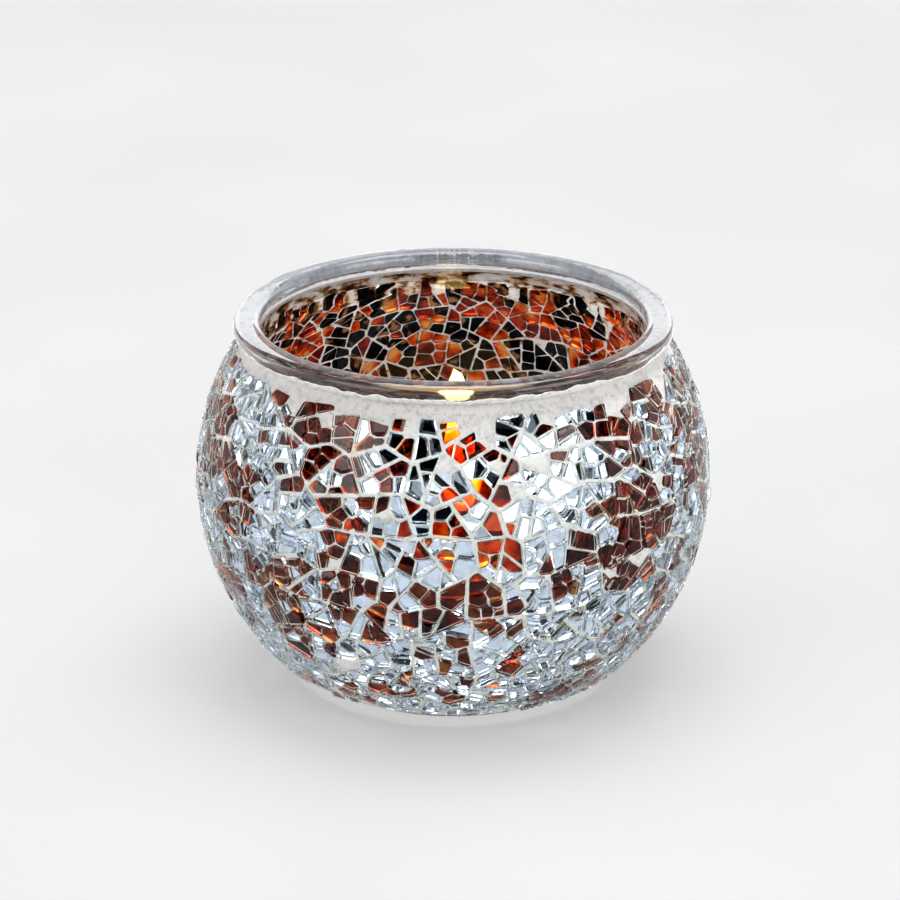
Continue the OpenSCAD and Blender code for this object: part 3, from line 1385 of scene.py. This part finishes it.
class HOLDER_OT_cup(bpy.types.Operator):
    """Builds the tealight's drawn and crimped cup"""

    bl_idname = "holder.cup"
    bl_label = "Cup"

    def execute(self, context):
        roll, foil, crimps = 0.6 * MM, FOIL, 72
        wall = SIZE["cup"] - roll
        floor, top = SIZE["floor"], SIZE["cup_top"]
        path = [(0.0, floor), (wall - 1.2 * MM, floor)]
        path += arc((wall - 1.2 * MM, floor + 1.2 * MM), 1.2 * MM, -90, 0, 6)[1:]
        path += [(wall, top - 2 * roll - 0.2 * MM)]
        path += arc((wall, top - roll), roll, -90, 90, 10)
        path += arc((wall, top - roll), roll, 90, 200, 10)[1:]
        path += [(wall - foil, top - 2 * roll - 0.4 * MM), (wall - foil, floor + 1.4 * MM)]
        path += [(wall - foil - 1.0 * MM, floor + foil), (0.0, floor + foil)]

        def crimp(point, k):
            if point.xy.length < wall - 0.8 * MM:
                return Vector()
            turn = math.atan2(point.y, point.x)
            share = min(1.0, max(0.0, (point.z - floor) / (4 * MM)))
            out = Vector((point.x, point.y, 0)).normalized()
            wave = math.sin(turn * crimps) * 0.035 + noise.noise(point * 400) * 0.05
            return -out * abs(wave) * MM * (1 - 0.4 * share)

        cup = lathe("Tealight_cup", path, 288, [drawn_aluminium()], shift=crimp, smooth_angle=40)
        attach(cup, "tealight")
        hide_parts("tealight_cup")
        return {"FINISHED"}


class HOLDER_OT_wax(bpy.types.Operator):
    """Pours the wax, with its molten pool round the wick"""

    bl_idname = "holder.wax"
    bl_label = "Wax"

    def execute(self, context):
        wax_r, wax_top = SIZE["wax"] - 0.02 * MM, SIZE["wax_top"]
        pool = wax_r * 0.86
        bottom = SIZE["floor"] + FOIL
        hole = SIZE["wick"]
        path = [(hole * 1.02, bottom + 3.6 * MM), (7.0 * MM, bottom + 0.5 * MM)]
        path += [(wax_r, bottom + 0.5 * MM), (wax_r, wax_top - 0.5 * MM)]
        path += [(wax_r - 0.3 * MM, wax_top), (pool + 1.1 * MM, wax_top - 0.1 * MM)]
        path += [(pool, wax_top - 0.8 * MM), (pool * 0.6, wax_top - 0.85 * MM)]
        path += [(hole * 3.2, wax_top - 0.85 * MM), (hole * 1.6, wax_top - 0.7 * MM)]
        path += [(hole * 1.02, wax_top - 0.35 * MM), (hole * 1.02, bottom + 3.6 * MM)]
        materials = [
            paraffin("Paraffin wax, poured", "#efe4c8", "#f8f1df", 0.45),
            paraffin("Paraffin wax, melted", "#e6d3a4", "#eeddb4", 0.04),
        ]
        melted = range(5, 10)
        wax = lathe("Wax", path, 128, materials, slot_of=lambda k: int(k in melted))
        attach(wax, "tealight")
        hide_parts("wax")
        return {"FINISHED"}


class HOLDER_OT_wick(bpy.types.Operator):
    """Braids the wick, bent over where it has burnt"""

    bl_idname = "holder.wick"
    bl_label = "Wick"

    def execute(self, context):
        bottom, wax_top, wick_top = SIZE["floor"] + FOIL, SIZE["wax_top"], SIZE["wick_top"]
        length = wick_top - bottom
        vertices, faces = [], []
        sides, rings = 24, 90
        for k in range(rings + 1):
            t = k / rings
            z = bottom + t * length
            above = max(0.0, z - wax_top) / (wick_top - wax_top)
            bend = Vector((0.7, -0.25, 0)).normalized() * (above**2) * 0.9 * MM
            for i in range(sides):
                a = math.tau * i / sides
                braid = 0.5 + 0.5 * math.cos(3 * a + 55 * t) * math.cos(3 * a - 55 * t)
                r = SIZE["wick"] * (0.84 + 0.15 * braid) * (1 - 0.35 * max(0.0, t - 0.94) / 0.06)
                vertices.append(bend + Vector((r * math.cos(a), r * math.sin(a), z)))
        for k in range(rings):
            for i in range(sides):
                j = (i + 1) % sides
                low, high = k * sides, (k + 1) * sides
                faces.append([low + i, low + j, high + j, high + i])
        faces.append(list(range(sides))[::-1])
        faces.append([rings * sides + i for i in range(sides)])
        wick = new_object("Wick", vertices, faces, [cotton_wick()], smooth_angle=60)
        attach(wick, "tealight")
        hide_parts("wick")
        return {"FINISHED"}


class HOLDER_OT_wick_foot(bpy.types.Operator):
    """Gives the wick's stamped foot its tinned steel"""

    bl_idname = "holder.wick_foot"
    bl_label = "Wick foot"

    def execute(self, context):
        foot = NODES["wick_foot"]
        steel = tinned_steel()
        if foot.material_slots:
            for slot in foot.material_slots:
                slot.material = steel
        else:
            foot.data.materials.append(steel)
        return {"FINISHED"}


class HOLDER_OT_flame(bpy.types.Operator):
    """Lights the tealight"""

    bl_idname = "holder.flame"
    bl_label = "Flame"

    def execute(self, context):
        look = context.scene.holder_tealight
        low = SIZE["wick_top"] - 2.5 * MM
        high = SIZE["wick_top"] + look.flame_height
        count, radius = 28, 3.3 * MM
        path = []
        for i in range(count + 1):
            t = i / count
            width = radius * math.sin(math.pi * min(1.0, t**0.8)) ** 0.5 * (1 - 0.2 * t)
            path.append((width if 0 < i < count else 0.0, low + (high - low) * t))

        def lean(point, k):
            t = (point.z - low) / (high - low)
            return Vector((0.55 * MM, -0.2 * MM, 0)) * (0.5 + 0.5 * t)

        flame = lathe("Flame", path, 48, [burning_gas(look, low, high)], shift=lean)
        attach(flame, "tealight")
        data = bpy.data.lights.new("Flame light", "POINT")
        data.energy = look.flame_light
        data.color = linear("#ffab5c")[:3]
        data.shadow_soft_size = 2.5 * MM
        glow = bpy.data.objects.new("Flame_light", data)
        glow.location = (0.4 * MM, -0.1 * MM, low + 0.5 * (high - low))
        context.scene.collection.objects.link(glow)
        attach(glow, "tealight")
        return {"FINISHED"}


class HOLDER_OT_stage(bpy.types.Operator):
    """Sets the floor, the lights and the camera"""

    bl_idname = "holder.stage"
    bl_label = "Floor, lights and camera"

    def execute(self, context):
        look = context.scene.holder_stage
        scene = context.scene
        path = [(r, -0.02 * MM) for r in (0.0, 0.3, 1.0, 2.5)]
        floor = lathe("Floor", path, 96, [matt_paper(look)])

        scene.world = studio_daylight(look)

        bowl_middle = Vector((0, 0, 0.03))
        lamps = [
            ("Overhead", (0.1, 0.2, 1.2), 0.9, 9.0),
            ("Front right", (1.0, -0.9, 0.45), 0.95, 6.5),
            ("Front left", (-1.0, -0.9, 0.4), 0.95, 6.5),
        ]
        for name, place, width, power in lamps:
            data = bpy.data.lights.new(name, "AREA")
            data.size = width
            data.energy = power
            lamp = bpy.data.objects.new(name, data)
            lamp.location = place
            aim = bowl_middle - Vector(place)
            lamp.rotation_euler = aim.to_track_quat("-Z", "Y").to_euler()
            scene.collection.objects.link(lamp)

        only_floor = bpy.data.collections.new("Floor only")
        only_floor.objects.link(floor)
        data = bpy.data.lights.new("Floor wash", "AREA")
        data.size = 3.0
        data.energy = look.floor_wash
        wash = bpy.data.objects.new("Floor wash", data)
        wash.location = (0, 0, 2.0)
        wash.light_linking.receiver_collection = only_floor
        wash.light_linking.blocker_collection = only_floor
        wash.visible_glossy = wash.visible_transmission = False
        scene.collection.objects.link(wash)

        target = Vector((-0.52 * MM, 0, 35.32 * MM))
        back = Vector((0, -math.cos(look.elevation), math.sin(look.elevation)))
        data = bpy.data.cameras.new("Camera")
        data.lens = look.lens
        data.sensor_width = 36
        data.clip_start = 0.01
        camera = bpy.data.objects.new("Camera", data)
        camera.location = target + back * look.distance
        camera.rotation_euler = (-back).to_track_quat("-Z", "Y").to_euler()
        scene.collection.objects.link(camera)
        scene.camera = camera
        scene.view_settings.view_transform = "Standard"
        scene.view_settings.look = "High Contrast"
        scene.view_settings.exposure = 0.15
        scene.cycles.max_bounces = 20
        scene.cycles.transmission_bounces = 20
        scene.cycles.glossy_bounces = 8
        scene.cycles.transparent_max_bounces = 24
        return {"FINISHED"}


class HOLDER_PT_panel(bpy.types.Panel):
    """Lists the holder's pieces and its stage"""

    bl_idname = "HOLDER_PT_panel"
    bl_label = "Tealight holder"
    bl_space_type = "VIEW_3D"
    bl_region_type = "UI"
    bl_category = "Tealight holder"

    def draw(self, context):
        for operator in OPERATORS:
            self.layout.operator(operator.bl_idname)


OPERATORS = [
    HOLDER_OT_bowl,
    HOLDER_OT_mosaic,
    HOLDER_OT_grout,
    HOLDER_OT_cup,
    HOLDER_OT_wax,
    HOLDER_OT_wick,
    HOLDER_OT_wick_foot,
    HOLDER_OT_flame,
    HOLDER_OT_stage,
]
GROUPS = {
    "holder_bowl": BowlLook,
    "holder_mosaic": MosaicLook,
    "holder_tealight": TealightLook,
    "holder_stage": StageLook,
}


def register():
    for group in GROUPS.values():
        bpy.utils.register_class(group)
    for name, group in GROUPS.items():
        setattr(bpy.types.Scene, name, bpy.props.PointerProperty(type=group))
    for cls in [*OPERATORS, HOLDER_PT_panel]:
        bpy.utils.register_class(cls)


def unregister():
    for cls in [*OPERATORS, HOLDER_PT_panel]:
        bpy.utils.unregister_class(cls)
    for name in GROUPS:
        delattr(bpy.types.Scene, name)
    for group in GROUPS.values():
        bpy.utils.unregister_class(group)


def main():
    register()
    bpy.ops.holder.bowl()
    bpy.ops.holder.mosaic()
    bpy.ops.holder.grout()
    bpy.ops.holder.cup()
    bpy.ops.holder.wax()
    bpy.ops.holder.wick()
    bpy.ops.holder.wick_foot()
    bpy.ops.holder.flame()
    bpy.ops.holder.stage()


if __name__ == "__main__":
    main()
